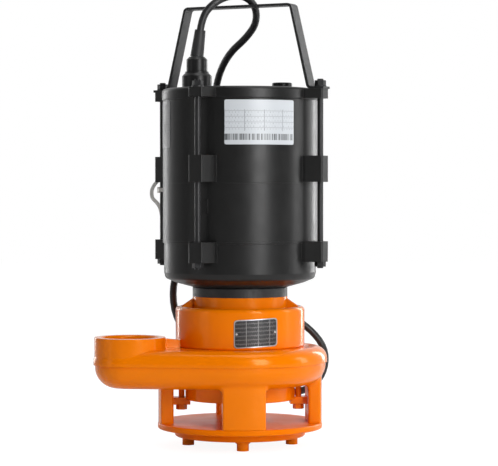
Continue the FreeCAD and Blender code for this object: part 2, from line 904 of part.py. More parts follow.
def upper_bracket():
    outer = frame_bore + frame_wall
    low = frame_top
    hub = upper_bearing_outer + 5
    body = spun([(upper_bearing_bore + 5, upper_bearing_low - 5), (hub, upper_bearing_low - 5, 2.0),
                 (hub, low - 4), (frame_bore - slip, low - 4), (frame_bore - slip, low), (outer, low),
                 (outer, low + upper_bracket_thick, 2.0), (hub + 2, low + upper_bracket_thick, 3.0),
                 (hub, upper_bearing_low + upper_bearing_width, 1.0),
                 (upper_bearing_outer, upper_bearing_low + upper_bearing_width),
                 (upper_bearing_outer, upper_bearing_low), (upper_bearing_bore + 5, upper_bearing_low)])
    return body


def lug(low, height, reach_in):
    """Boss for a tie rod, wider towards the jacket."""
    flat = outline([(-lug_root, -reach_in, low), (lug_root, -reach_in, low),
                    (lug_root - 1, -jacket_radius - 2, low),
                    (lug_tip, -lug_reach, low, lug_tip_round), (-lug_tip, -lug_reach, low, lug_tip_round),
                    (-lug_root + 1, -jacket_radius - 2, low)])
    return Part.Face(flat).extrude(V(0, 0, height))


def lugs(low, height, wall):
    """Four lugs, cut clear inside a shell's wall."""
    bore = Part.makeCylinder(wall, height, V(0, 0, low))
    return [turned_to(lug(low, height, jacket_radius - lug_in), turn).cut(bore) for turn in rod_turns]


def rod_holes():
    return [rod(place(rod_circle, turn), rod_radius + slip, 0, handle_top) for turn in rod_turns]


def gasket_ring(seam):
    outer = jacket_radius - gasket_inset
    return tube(outer, outer - gasket, seam, seam + gasket_height)


def motor_bowl():
    inner = bracket_hub_radius + slip
    r = jacket_radius
    seam = jacket_low_seam
    side = bracket_top + bowl_rise
    outside = [(inner, bracket_top), (ring_outer, bracket_top), (bowl_waist, bracket_top + 6.0, 8.0),
               (r - jacket_wall, bracket_top + 12.0, 5.0), (r - bowl_inset, side),
               (r - bowl_inset, seam - bowl_lip), (r, seam - bowl_lip), (r, seam)]
    inside = [(r - jacket_wall, seam), (r - jacket_wall - bowl_inset, side, 6.0),
              (bowl_waist + 1.0, bracket_top + 10.0, 6.0), (frame_bore + frame_wall + 2, hub_top),
              (inner, hub_top)]
    ears = lugs(low_lug[0], low_lug[1], r - jacket_wall - 2)
    return joined([spun(outside + inside)] + ears).cut(Part.makeCompound(rod_holes()))


def plain_shell(low, high):
    return tube(jacket_radius, jacket_radius - jacket_wall, low, high).cut(gasket_ring(low))


def mid_shell():
    """Plain ring of the jacket with a small moulded pad at the front."""
    wide, deep, tall = pad_size
    pad = Part.makeBox(wide, deep, tall, V(-wide / 2, -jacket_radius - deep / 2 + slip, pad_low))
    return joined([plain_shell(jacket_low_seam, jacket_mid_seam), turned_to(pad, pad_turn)])


def upper_shell():
    shell = plain_shell(jacket_mid_seam, jacket_top_seam)
    ears = lugs(mid_lug[0], mid_lug[1], jacket_radius - bowl_inset)
    return joined([shell] + ears).cut(Part.makeCompound(rod_holes()))


def shell_seals():
    return [gasket_ring(seam) for seam in (jacket_low_seam, jacket_mid_seam, jacket_top_seam)]


def top_cap():
    r = jacket_radius + cap_overhang
    low = jacket_top_seam
    under = cap_top - cap_thick
    shell = spun([(0, under), (r - 8, under, 4.0), (jacket_radius - jacket_wall, low), (r, low, 0.8),
                  (r, cap_top, 5.0), (0, cap_top)])
    shell = joined([shell] + lugs(top_lug[0], top_lug[1], r - bowl_inset))
    entry = rod(V(gland_x, gland_y, 0), gland_spigot, under - 1, cap_top + 1)
    vent = rod(V(vent_x, vent_y, 0), vent_spigot, under - 1, cap_top + 1)
    return shell.cut(Part.makeCompound(rod_holes() + [gasket_ring(low), entry, vent]))


def terminal_block():
    """Row of screw terminals above the upper bracket."""
    low = frame_top + upper_bracket_thick
    x, y = terminal_corner
    wide, deep, tall = terminal_size
    front, rise = terminal_step
    block = Part.makeBox(wide, deep, tall, V(x, y, low))
    step = Part.makeBox(wide, deep - front, tall - rise, V(x, y + front, low + rise))
    wells = [Part.makeCylinder(terminal_well, terminal_well_depth,
                               V(x + terminal_first[0] + terminal_pitch * i, y + terminal_first[1],
                                 low + tall - terminal_well_depth))
             for i in range(terminal_count)]
    return block.cut(Part.makeCompound([step] + wells))


def run_capacitor():
    """Round can standing on the upper bracket."""
    low = frame_top + upper_bracket_thick
    top = low + can_height
    can = spun([(0, low), (can_radius, low, 2.0), (can_radius, top, 3.0), (0, top)])
    wide, thick, tall = tab_size
    tabs = [Part.makeBox(wide, thick, tall, V(x, -thick / 2, top - tab_root)) for x in tab_spots]
    whole = joined([can] + tabs)
    whole.translate(V(can_spot[0], can_spot[1], 0))
    return whole


# Tie rods

def handle_at(turn):
    """True for the two rods that also hold the handle."""
    return abs((turn - handle_turn) % 180) < 1


def rod_stack(turn):
    """Height of the washer's underside on top of a rod."""
    return lug_seat + strap_thick if handle_at(turn) else lug_seat


def tie_rods():
    rods = []
    for turn in rod_turns:
        top = rod_stack(turn) + washer_thick + nut_height + rod_stub
        rods.append(rod(place(rod_circle, turn), rod_radius, low_lug[0] - nut_height - rod_stub, top))
    return rods


def bored_nut(turn, low):
    spot = place(rod_circle, turn)
    nut = hexagon(nut_across, low, low + nut_height, spot)
    return nut.cut(rod(spot, rod_radius, low - 1, low + nut_height + 1))


def rod_nuts_lower():
    return [bored_nut(turn, low_lug[0] - nut_height) for turn in rod_turns]


def rod_nuts_upper():
    return [bored_nut(turn, rod_stack(turn) + washer_thick) for turn in rod_turns]


def rod_washers():
    washers = []
    for turn in rod_turns:
        low = rod_stack(turn)
        ring = tube(washer_radius, rod_radius, low, low + washer_thick)
        ring.translate(place(rod_circle, turn))
        washers.append(ring)
    return washers


def lifting_handle():
    """Flat strap bent into a bail, its feet under two of the rod nuts."""
    low = lug_seat
    t = strap_thick
    lean = (handle_root - handle_top_half) / (handle_top - low)
    side = t * math.hypot(1, lean)
    out = handle_bend + t
    outer = [(handle_foot, low), (handle_foot, low + t), (handle_root + side / 2, low + t, handle_bend),
             (handle_top_half + side / 2, handle_top, out)]
    mirrored = [(-p[0],) + tuple(p[1:]) for p in reversed(outer)]
    reach = handle_top_half - side / 2 + lean * t
    under = handle_top - t
    inner = [(-handle_root + side / 2, low, out), (-reach, under, handle_bend),
             (reach, under, handle_bend), (handle_root - side / 2, low, out)]
    points = [(p[0], -strap_width / 2, p[1]) + tuple(p[2:]) for p in outer + mirrored + inner]
    strap = Part.Face(outline(points)).extrude(V(0, strap_width, 0))
    strap.rotate(V(0, 0, 0), UP, handle_turn - 90)
    holes = [rod(place(rod_circle, turn), rod_radius + slip, low - 1, low + t + 1)
             for turn in rod_turns if handle_at(turn)]
    return strap.cut(Part.makeCompound(holes))


# Cable entry

def gland_base():
    neck = gland_nut_radius + 2
    low = cap_top - spigot_depth
    base = spun([(gland_bore, low), (gland_spigot - slip, low), (gland_spigot - slip, cap_top),
                 (gland_base_radius, cap_top), (gland_base_radius, gland_base_top - gland_cone, 1.5),
                 (neck, gland_base_top - 2, 1.0), (neck, gland_base_top), (gland_bore, gland_base_top)])
    base.translate(V(gland_x, gland_y, 0))
    return base


def gland_seal():
    ring = tube(gland_bore, cable_radius, gland_base_top - 2 * gland_cone, gland_base_top)
    ring.translate(V(gland_x, gland_y, 0))
    return ring


def gland_nut():
    nut = spun([(cable_radius, gland_base_top), (gland_nut_radius, gland_base_top, 1.0),
                (gland_nut_radius, gland_nut_top - 4, 1.5), (boot_low_radius + 1, gland_nut_top, 1.0),
                (cable_radius, gland_nut_top)])
    nut.translate(V(gland_x, gland_y, 0))
    return nut


def boot_axis():
    low = V(gland_x, gland_y, gland_nut_top)
    high = V(gland_x + boot_lean, gland_y, boot_top)
    return low, high


def cable_boot():
    """Tapered sleeve that guards the cable where it leaves the nut."""
    low, high = boot_axis()
    way = high - low
    cone = Part.makeCone(boot_low_radius, boot_high_radius, way.Length, low, way)
    block = Part.makeCylinder(2 * boot_low_radius, spare, V(gland_x, gland_y, gland_nut_top - spare))
    core = Part.makeCylinder(cable_radius, way.Length + 2, low - way.normalize(), high - low)
    return cone.cut(block).cut(core)


def vent_plug():
    top = cap_top + vent_height
    low = cap_top - spigot_depth
    spigot = vent_spigot - slip
    body = spun([(0, low), (spigot, low), (spigot, cap_top), (vent_radius, cap_top), (vent_radius, top, 2.0),
                 (0, top)])
    plug = body.cut(hexagon(vent_socket, top - vent_socket_depth, top + 1, V(0, 0, 0)))
    plug.translate(V(vent_x, vent_y, 0))
    return plug


# Cable, its length and lay chosen by hand

behind = jacket_radius

lead_route = [
    (-53.0, -28.0, 557.0),
    (-50.0, -28.0, 575.0),
    (-38.0, -26.0, 591.0),
    (-19.0, -19.0, 603.0),
    (4.0, -6.0, 606.0),
    (21.0, 9.0, 594.0),
    (23.0, 24.0, 571.0),
    (8.0, 40.0, 551.0),
    (-14.0, 60.0, 533.0),
    (-29.0, behind - 16.0, 507.0),
    (-36.0, behind + 11.0, 474.0),
    (-39.0, behind + 7.5, 402.0),
    (-50.0, behind + 7.5, 322.0),
    (-76.0, behind + 5.0, 262.0),
    (-96.0, behind - 3.0, 212.0),
    (-90.0, behind + 5.0, 158.0),
    (-50.0, behind + 29.0, 113.0),
    (-4.0, behind + 36.0, 82.0),
    (42.0, behind + 34.0, 62.0),
    (86.0, behind + 29.0, 55.0),
    (117.0, behind + 24.0, 78.0),
    (123.0, behind + 20.0, 118.0),
    (97.0, behind + 18.0, 151.0),
    (58.0, behind + 21.0, 173.0),
    (16.0, behind + 28.0, 192.0),
    (-26.0, behind + 34.0, 224.0),
    (-58.0, behind + 36.0, 271.5),
]

tail_route = [
    (-88.0, behind + 70.3, 337.5),
    (-88.0, behind + 70.3, 318.5),
    (-74.6, behind + 69.0, 287.5),
    (-49.8, behind + 63.0, 262.9),
    (-17.5, behind + 52.0, 250.5),
    (12.0, behind + 44.0, 251.5),
]


def cable(route, name):
    """Round cable: straight runs joined by tangent arcs as large as the runs allow."""
    spots = [V(*p) for p in route]
    edges = []
    start = spots[0]
    radii = []
    for i in range(1, len(spots) - 1):
        before = spots[i - 1] - spots[i]
        after = spots[i + 1] - spots[i]
        short = min(before.Length, after.Length)
        turn = math.pi - before.getAngle(after)
        back = arc_share * short
        radius = back / math.tan(turn / 2)
        radii.append(round(radius))
        enter = spots[i] + before.normalize() * back
        leave = spots[i] + after.normalize() * back
        middle = (before + after).normalize()
        centre = spots[i] + middle * (radius / math.cos(turn / 2))
        edges.append(Part.LineSegment(start, enter).toShape())
        edges.append(Part.Arc(enter, centre - middle * radius, leave).toShape())
        start = leave
    edges.append(Part.LineSegment(start, spots[-1]).toShape())
    path = Part.Wire(edges)
    way = spots[1] - spots[0]
    ring = Part.Wire([Part.Circle(spots[0], way, cable_radius).toShape()])
    solid = path.makePipeShell([ring], True, False)
    section = math.pi * cable_radius ** 2
    print(name, "radii", radii, "length", round(path.Length, 1),
          "volume share", round(solid.Volume / (section * path.Length), 4))
    return solid


def cable_coil():
    """Closed ring in the shape of the tied turns."""
    half = coil_section / 2
    ring = spun([(coil_radius - half, -half, coil_corner), (coil_radius + half, -half, coil_corner),
                 (coil_radius + half, half, coil_corner), (coil_radius - half, half, coil_corner)])
    ring.rotate(V(0, 0, 0), V(1, 0, 0), 90)
    ring.translate(V(0, coil_y, coil_z))
    return ring


def plug_centre():
    """Axis of the plug, on the back of the coil."""
    return V(tail_route[0][0], coil_y + coil_section / 2 + slip + plug_width / 2, tail_route[0][2])


def cable_plug():
    axis = plug_centre()
    half = plug_width / 2
    low = axis.z + plug_relief
    relief = Part.makeCone(relief_tip, half - 4, plug_relief, axis)
    wide = half + plug_edge
    body = outline([(axis.x + x * wide, axis.y + y * half, low, plug_round)
                    for x, y in ((-1, -1), (1, -1), (1, 1), (-1, 1))])
    return joined([Part.Face(body).extrude(V(0, 0, plug_length)), relief])


def plug_pins():
    axis = plug_centre()
    low = axis.z + plug_relief + plug_length
    pins = []
    for side in (-1, 1):
        spot = V(axis.x + side * pin_spread, axis.y, 0)
        pins.append(rod(spot, pin_radius, low, low + pin_length))
    return pins


def taut(points):
    """Convex loop round a set of (x, y) points, as a strap pulls tight."""
    ordered = sorted(points)
    halves = []
    for run in (ordered, ordered[::-1]):
        half = []
        for p in run:
            while len(half) > 1 and cross(half[-2], half[-1], p) <= 0:
                half.pop()
            half.append(p)
        halves.append(half[:-1])
    return halves[0] + halves[1]


def cross(a, b, c):
    """Positive where a, b, c turn left."""
    return (b[0] - a[0]) * (c[1] - a[1]) - (b[1] - a[1]) * (c[0] - a[0])


def cable_ties():
    """Two straps, each round a tie rod and one side of the coil; one also holds the plug."""
    ties = []
    front = coil_y - coil_section / 2 - slip
    back = coil_y + coil_section / 2 + slip
    rise = tie_low + tie_width - coil_z
    near = math.sqrt((coil_radius - coil_section / 2) ** 2 - rise ** 2) - slip
    far = coil_radius + coil_section / 2 + slip
    relief = relief_tip + 2 * slip + tie_clear
    axis = plug_centre()
    held = [(axis.x - relief, axis.y + relief), (axis.x + relief, axis.y + relief)]
    for side, turn, more in ((-1, rod_turns[3], held), (1, rod_turns[2], [])):
        spot = place(rod_circle, turn)
        hug = rod_radius + tie_clear
        round_rod = [(spot.x + hug * math.cos(math.radians(45 * i)),
                      spot.y + hug * math.sin(math.radians(45 * i))) for i in range(8)]
        limb = [(side * x, y) for x in (near, far) for y in (front, back)]
        loop = taut(round_rod + limb + more)
        inner = Part.Face(Part.makePolygon([V(p[0], p[1], tie_low) for p in loop + loop[:1]]))
        strap = inner.makeOffset2D(tie_thick).extrude(V(0, 0, tie_width))
        ties.append(strap.cut(inner.extrude(V(0, 0, tie_width))))
    return ties


def build():
    save("stub_feet", stub_feet())
    save("floor_plate", floor_plate())
    save("base_plate", base_plate())
    save("leg_screws", leg_screw_tool())
    save("volute_casing", volute_casing())
    save("suction_cover", suction_cover())
    save("cover_bolts", cover_bolts())
    save("cover_seal", cover_seal())
    save("oil_housing", oil_housing())
    save("housing_screws", housing_screws())
    save("housing_seal", housing_seal())
    save("oil_plug", oil_plug())
    save("seal_seat", seal_seat())
    save("seal_face", seal_face())
    save("seal_bellows", seal_bellows())
    save("lip_seal", lip_seal())
    save("bearing_bracket", bearing_bracket())
    save("bracket_screws", bracket_screws())
    lower = (lower_bearing_bore, lower_bearing_outer, lower_bearing_low, lower_bearing_width)
    upper = (upper_bearing_bore, upper_bearing_outer, upper_bearing_low, upper_bearing_width)
    save("lower_bearing_outer", outer_race(*lower))
    save("lower_bearing_inner", inner_race(*lower))
    save("lower_bearing_balls", ball_cage(*lower, lower_ball_count))
    save("upper_bearing_outer", outer_race(*upper))
    save("upper_bearing_inner", inner_race(*upper))
    save("upper_bearing_balls", ball_cage(*upper, upper_ball_count))
    save("shaft", shaft())
    save("impeller", impeller())
    save("impeller_key", impeller_key())
    save("impeller_nut", impeller_nut())
    save("rotor_core", rotor_core())
    save("rotor_rings", rotor_rings())
    save("stator_core", stator_core())
    save("lower_winding", winding(stator_low - winding_height, stator_low))
    save("upper_winding", winding(stator_high, stator_high + winding_height))
    save("stator_frame", stator_frame())
    save("upper_bracket", upper_bracket())
    save("motor_bowl", motor_bowl())
    save("mid_shell", mid_shell())
    save("upper_shell", upper_shell())
    save("shell_seals", shell_seals())
    save("top_cap", top_cap())
    save("terminal_block", terminal_block())
    save("run_capacitor", run_capacitor())
    save("tie_rods", tie_rods())
    save("rod_nuts_lower", rod_nuts_lower())
    save("rod_nuts_upper", rod_nuts_upper())
    save("rod_washers", rod_washers())
    save("lifting_handle", lifting_handle())
    save("gland_base", gland_base())
    save("gland_seal", gland_seal())
    save("gland_nut", gland_nut())
    save("cable_boot", cable_boot())
    save("vent_plug", vent_plug())
    save("cable_lead", cable(lead_route, "cable_lead"))
    save("cable_tail", cable(tail_route, "cable_tail"))
    save("cable_coil", cable_coil())
    save("cable_plug", cable_plug())
    save("plug_pins", plug_pins())
    save("cable_ties", cable_ties())


build()
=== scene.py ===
import math
import random

import bmesh
import bpy
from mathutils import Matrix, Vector


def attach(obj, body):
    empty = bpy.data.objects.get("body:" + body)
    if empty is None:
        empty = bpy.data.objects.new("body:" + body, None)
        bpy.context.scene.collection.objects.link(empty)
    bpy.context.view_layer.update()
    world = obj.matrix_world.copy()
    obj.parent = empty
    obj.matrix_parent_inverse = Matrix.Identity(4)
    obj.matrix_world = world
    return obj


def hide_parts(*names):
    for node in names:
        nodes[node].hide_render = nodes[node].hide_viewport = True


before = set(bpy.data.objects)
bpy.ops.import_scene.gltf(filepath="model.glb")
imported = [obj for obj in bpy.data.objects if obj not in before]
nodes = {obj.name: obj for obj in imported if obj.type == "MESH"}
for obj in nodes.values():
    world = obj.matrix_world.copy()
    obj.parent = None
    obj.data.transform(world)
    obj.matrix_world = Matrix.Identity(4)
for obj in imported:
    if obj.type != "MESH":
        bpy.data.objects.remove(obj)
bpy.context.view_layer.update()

scene = bpy.context.scene
mm = 0.001

# Camera, fitted to how flat the photograph's ellipses look
camera_distance = 2.76
camera_height = 0.3435
camera_lens = 147.8
camera_sensor = 36.0
camera_reach = 50.0
camera_pitch = 1.197
camera_yaw = 0.252

# Cable: a lead over the handle, sixteen tied turns and a tail to the plug
cable_radius = 5.0
coil_radius = 86.0
coil_centre = (0.0, 140.0, 337.5)
coil_pitch = 10.0
coil_grid = 4
coil_start = 225.0
coil_slack = 0.35
coil_seed = 7
crossing_start = 0.75    # share of a turn after which it crosses to the next place
points_per_turn = 16

lead_route = [
    (-53.0, -28.0, 557.0),
    (-50.0, -28.0, 575.0),
    (-38.0, -26.0, 591.0),
    (-19.0, -19.0, 603.0),
    (4.0, -6.0, 606.0),
    (21.0, 9.0, 594.0),
    (23.0, 24.0, 571.0),
    (8.0, 40.0, 551.0),
    (-14.0, 60.0, 533.0),
    (-29.0, 88.0, 507.0),
    (-36.0, 115.0, 474.0),
    (-39.0, 111.5, 402.0),
    (-50.0, 111.5, 322.0),
    (-76.0, 109.0, 262.0),
    (-96.0, 101.0, 212.0),
    (-90.0, 109.0, 158.0),
    (-50.0, 133.0, 113.0),
    (-4.0, 140.0, 82.0),
    (42.0, 138.0, 62.0),
    (86.0, 133.0, 55.0),
    (117.0, 128.0, 78.0),
    (123.0, 124.0, 118.0),
    (97.0, 122.0, 151.0),
    (58.0, 125.0, 173.0),
    (16.0, 132.0, 192.0),
    (-26.0, 138.0, 224.0),
    (-58.0, 140.0, 271.5),
]

tail_route = [
    (-88.0, 174.3, 337.5),
    (-88.0, 174.3, 318.5),
    (-74.6, 173.0, 287.5),
    (-49.8, 167.0, 262.9),
    (-17.5, 156.0, 250.5),
    (12.0, 148.0, 251.5),
]

# Sizes of the solids that the plates and threads follow
jacket_radius = 104.0
bell_radius = 87.0
rod_circle = 119.5
rod_turns = (-27.3, 62.7, 152.7, 242.7)
rod_radius = 4.0
rod_low = 240.5
rod_tops = (487.6, 490.8, 487.6, 490.8)
rod_stub = 2.0
port_spot = (-145.5, -60.0)
port_thread = 36.1
port_levels = (126.5, 146.6)

# Threads; a depth below zero winds on a bore
rod_thread_depth = 0.25
rod_thread_pitch = 0.62
port_thread_depth = -1.0
port_thread_pitch = 2.31
thread_margin = 0.1
thread_sunk = 0.05
thread_steps = 48
thread_fade_steps = 12

# Plates: turns in degrees from the front, heights in millimetres
plate_columns = 40
plate_rows = 24
plate_gap = 0.02
sticker_thick = 0.25
sticker_corner = 2.0
rating_turns = (-11.2, 42.4)
rating_heights = (403.1, 461.4)
side_turns = (-104.0, -62.7)
side_heights = (400.0, 461.5)
nameplate_turns = (-5.2, 33.9)
nameplate_heights = (137.5, 174.5)
nameplate_tilt = 0.045
nameplate_thick = 0.5
nameplate_corner = 4.0
border_gap = 0.4
border_thick = 0.35
border_width = 1.3
border_steps = 16
rivet_gap = 0.5
rivet_radius = 1.6
rivet_height = 0.9
rivet_places = ((0.055, 0.5), (0.945, 0.5))

# Marks on the plates, as shares of a plate's width
column_share = 0.27
rule_share = 0.006
mark_share = 0.043
mark_gap = 0.02
mark_offset = 0.35
mark_bias = 0.1
bar_share = 0.0115
bar_levels = (0.10, 0.24)

# Ties: heads of both, and the free end of the left one
tie_width = 5.0
tie_thick = 1.3
tie_facing = (0.9, -0.44, 0.0)
tie_head_size = (5.0, 6.0, 8.0)
tie_head_wall = 1.2
tie_head_slot = 1.5
tie_end_route = [(-112.5, 61.0, 357.0), (-118.0, 60.0, 351.0), (-121.5, 59.0, 343.0), (-120.5, 58.0, 333.0),
                 (-113.5, 57.0, 325.0), (-109.5, 57.5, 317.0), (-108.0, 59.0, 309.0)]
tie_heads = ((-111.5, 63.5, 344.0), (64.0, 107.5, 344.0))


def place(radius, turn, z=0.0):
    """Point at a radius and a turn from the front, in metres."""
    a = math.radians(turn)
    return Vector((radius * math.sin(a), -radius * math.cos(a), z)) * mm


def add_camera():
    data = bpy.data.cameras.new("camera")
    data.lens = camera_lens
    data.sensor_width = camera_sensor
    data.clip_end = camera_reach
    camera = bpy.data.objects.new("camera", data)
    scene.collection.objects.link(camera)
    camera.location = (0, -camera_distance, camera_height)
    camera.rotation_euler = (math.radians(90 - camera_pitch), 0, math.radians(-camera_yaw))
    scene.camera = camera


def coil_slots():
    """Radius and depth of each turn, wound in layers from the outside in and back out."""
    slots = []
    offsets = [(i - (coil_grid - 1) / 2) * coil_pitch for i in range(coil_grid)]
    for layer, depth in enumerate(offsets):
        order = reversed(offsets) if layer % 2 == 0 else offsets
        slots += [(coil_radius + radial, coil_centre[1] + depth) for radial in order]
    return slots


def coil_turns():
    """Points of the tied turns; each turn crosses to the next place in its last quarter."""
    rng = random.Random(coil_seed)
    slots = coil_slots()
    points = []
    for k, (radius, depth) in enumerate(slots):
        later = slots[min(k + 1, len(slots) - 1)]
        loose = rng.uniform(-coil_slack, coil_slack)
        for i in range(points_per_turn):
            angle = math.radians(coil_start - 360 * i / points_per_turn)
            share = max(0.0, (i / points_per_turn - crossing_start) / (1 - crossing_start))
            r = radius + (later[0] - radius) * share + loose
            y = depth + (later[1] - depth) * share + loose
            r /= math.cos(math.pi / points_per_turn)
            points.append((r * math.cos(angle), y, coil_centre[2] + r * math.sin(angle)))
    return points


def supply_cable(kinds):
    """Whole cable as one line: lead, tied turns and tail."""
    curve = bpy.data.curves.new("supply_cable", "CURVE")
    curve.dimensions = "3D"
    curve.bevel_depth = cable_radius * mm
    curve.bevel_resolution = 5
    curve.resolution_u = 5
    curve.use_fill_caps = True
    turns = coil_turns()
    route = lead_route[:-1] + turns[1:-2] + tail_route[::-1]
    spline = curve.splines.new("NURBS")
    spline.points.add(len(route) - 1)
    for point, spot in zip(spline.points, route):
        point.co = (spot[0] * mm, spot[1] * mm, spot[2] * mm, 1)
    spline.order_u = 3
    spline.use_endpoint_u = True
    cable = bpy.data.objects.new("supply_cable", curve)
    scene.collection.objects.link(cable)
    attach(cable, "root")
    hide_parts("cable_lead", "cable_coil", "cable_tail")
    cable.data.materials.append(kinds["cable"])


# Materials

# Nearly all of a noise's values lie between these
noise_low = 0.3
noise_high = 0.7
noise_roughness = 0.55


def ramp_between(tree, factor, low, high):
    """Colour that goes from low to high as the factor rises."""
    ramp = tree.nodes.new("ShaderNodeValToRGB")
    ramp.color_ramp.elements[0].position = noise_low
    ramp.color_ramp.elements[1].position = noise_high
    ramp.color_ramp.elements[0].color = (*low, 1)
    ramp.color_ramp.elements[1].color = (*high, 1)
    tree.links.new(factor, ramp.inputs["Fac"])
    return ramp.outputs["Color"]


def noise(tree, coords, scale, detail=4.0):
    node = tree.nodes.new("ShaderNodeTexNoise")
    node.inputs["Scale"].default_value = scale
    node.inputs["Detail"].default_value = detail
    node.inputs["Roughness"].default_value = noise_roughness
    tree.links.new(coords, node.inputs["Vector"])
    return node.outputs["Fac"]


def spread(tree, factor, low, high):
    """Number that goes from low to high as the factor rises."""
    node = tree.nodes.new("ShaderNodeMapRange")
    node.inputs["From Min"].default_value = noise_low
    node.inputs["From Max"].default_value = noise_high
    node.inputs["To Min"].default_value = low
    node.inputs["To Max"].default_value = high
    tree.links.new(factor, node.inputs["Value"])
    return node.outputs["Result"]


def bumped(tree, height, distance, under=None):
    """Normal that a height, in metres at most as high as the distance, bends from the one under it."""
    node = tree.nodes.new("ShaderNodeBump")
    node.inputs["Distance"].default_value = distance
    tree.links.new(height, node.inputs["Height"])
    if under is not None:
        tree.links.new(under, node.inputs["Normal"])
    return node.outputs["Normal"]


def finish(name, low, high, rough, patch, grain, metallic=0.0, coat=0.0, coat_rough=0.08,
           wave=None, edge=0.0, tint=(1, 1, 1), specular=0.5):
    """Surface whose colour goes from low to high in patches, its gloss likewise.

    The grain is fine and the wave long, each given as its scale and its height in metres.
    The edge is the radius, in millimetres, that edges seem rounded to.
    """
    made = bpy.data.materials.new(name)
    made.use_nodes = True
    tree = made.node_tree
    shader = tree.nodes["Principled BSDF"]
    coords = tree.nodes.new("ShaderNodeTexCoord").outputs["Object"]
    patches = noise(tree, coords, patch)
    fine = noise(tree, coords, grain[0], 3.0)
    tree.links.new(ramp_between(tree, patches, low, high), shader.inputs["Base Color"])
    tree.links.new(spread(tree, noise(tree, coords, patch * 5), *rough), shader.inputs["Roughness"])
    normal = None
    if edge > 0:
        bevel = tree.nodes.new("ShaderNodeBevel")
        bevel.samples = 4
        bevel.inputs["Radius"].default_value = edge * mm
        normal = bevel.outputs["Normal"]
    if wave:
        normal = bumped(tree, noise(tree, coords, wave[0], 2.0), wave[1], normal)
    normal = bumped(tree, fine, grain[1], normal)
    tree.links.new(normal, shader.inputs["Normal"])
    shader.inputs["Metallic"].default_value = metallic
    shader.inputs["Specular IOR Level"].default_value = specular
    shader.inputs["Specular Tint"].default_value = (*tint, 1)
    shader.inputs["Coat Weight"].default_value = coat
    shader.inputs["Coat Roughness"].default_value = coat_rough
    return made


def dress(material, *names):
    """Give CAD nodes a material."""
    for name in names:
        mesh = nodes[name].data
        mesh.materials.clear()
        mesh.materials.append(material)


def finishes():
    """Every finish of the object, by name."""
    return {
        "orange": finish("orange_enamel", (0.88, 0.195, 0.0), (0.93, 0.215, 0.0), (0.14, 0.2), coat=0.06,
                         coat_rough=0.1, patch=7.0, grain=(1500.0, 0.00001), wave=(70.0, 0.00016), edge=1.2,
                         tint=(1.0, 0.72, 0.3), specular=0.36),
        "plate": finish("orange_plate", (0.86, 0.18, 0.0), (0.91, 0.20, 0.0), (0.3, 0.4), patch=7.0,
                        grain=(1500.0, 0.00001), wave=(50.0, 0.00012), edge=1.0, tint=(1.0, 0.6, 0.2),
                        specular=0.2),
        "plastic": finish("black_moulding", (0.008, 0.008, 0.008), (0.011, 0.011, 0.011), (0.3, 0.38),
                          patch=11.0, grain=(2600.0, 0.00002), wave=(45.0, 0.0001), edge=0.8, specular=0.34),
        "dark_steel": finish("black_steel", (0.012, 0.012, 0.013), (0.022, 0.022, 0.023), (0.3, 0.45),
                             metallic=0.2, patch=40.0, grain=(1800.0, 0.00003), edge=0.4),
        "steel": finish("bright_steel", (0.42, 0.42, 0.43), (0.55, 0.55, 0.56), (0.22, 0.36), metallic=1.0,
                        patch=60.0, grain=(2400.0, 0.00001), edge=0.3),
        "zinc": finish("plated_steel", (0.42, 0.40, 0.34), (0.56, 0.54, 0.48), (0.28, 0.42), metallic=1.0,
                       patch=80.0, grain=(2000.0, 0.00002), edge=0.4),
        "iron": finish("cast_iron", (0.16, 0.16, 0.165), (0.24, 0.24, 0.245), (0.5, 0.65), metallic=0.8,
                       patch=60.0, grain=(900.0, 0.00008), edge=0.6),
        "core": finish("core_steel", (0.2, 0.2, 0.21), (0.3, 0.3, 0.31), (0.4, 0.55), metallic=0.9,
                       patch=70.0, grain=(2200.0, 0.00003), edge=0.3),
        "copper": finish("varnished_winding", (0.36, 0.1, 0.03), (0.5, 0.16, 0.05), (0.3, 0.45),
                         patch=90.0, grain=(700.0, 0.0003), coat=0.4),
        "aluminium": finish("cast_aluminium", (0.46, 0.46, 0.47), (0.58, 0.58, 0.59), (0.4, 0.55),
                            metallic=0.9, patch=40.0, grain=(1300.0, 0.00006), edge=0.6),
        "dark_casting": finish("dark_casting", (0.013, 0.013, 0.014), (0.022, 0.022, 0.023), (0.4, 0.55),
                               patch=40.0, grain=(1300.0, 0.00006), edge=0.6),
        "brass": finish("brass", (0.58, 0.40, 0.13), (0.70, 0.52, 0.2), (0.22, 0.36), metallic=1.0,
                        patch=80.0, grain=(1800.0, 0.00001), edge=0.3),
        "rubber": finish("black_rubber", (0.010, 0.010, 0.011), (0.02, 0.02, 0.021), (0.45, 0.6),
                         patch=40.0, grain=(1800.0, 0.00005), edge=0.5),
        "cable": finish("cable_sheath", (0.009, 0.009, 0.010), (0.017, 0.017, 0.018), (0.36, 0.5),
                        patch=30.0, grain=(1500.0, 0.00004), wave=(60.0, 0.0001)),
        "ceramic": finish("seal_ring", (0.66, 0.6, 0.5), (0.78, 0.73, 0.64), (0.15, 0.25), patch=60.0,
                          grain=(1500.0, 0.00001)),
        "cream": finish("terminal_moulding", (0.55, 0.5, 0.38), (0.66, 0.61, 0.49), (0.35, 0.5), patch=60.0,
                        grain=(1500.0, 0.00003), edge=0.4),
        "white": finish("white_nylon", (0.70, 0.70, 0.66), (0.82, 0.82, 0.79), (0.3, 0.45), patch=80.0,
                        grain=(1500.0, 0.00003), edge=0.2),
        "silver": finish("bright_border", (0.5, 0.5, 0.5), (0.68, 0.68, 0.68), (0.25, 0.4), metallic=0.9,
                         patch=90.0, grain=(2400.0, 0.00001)),
    }


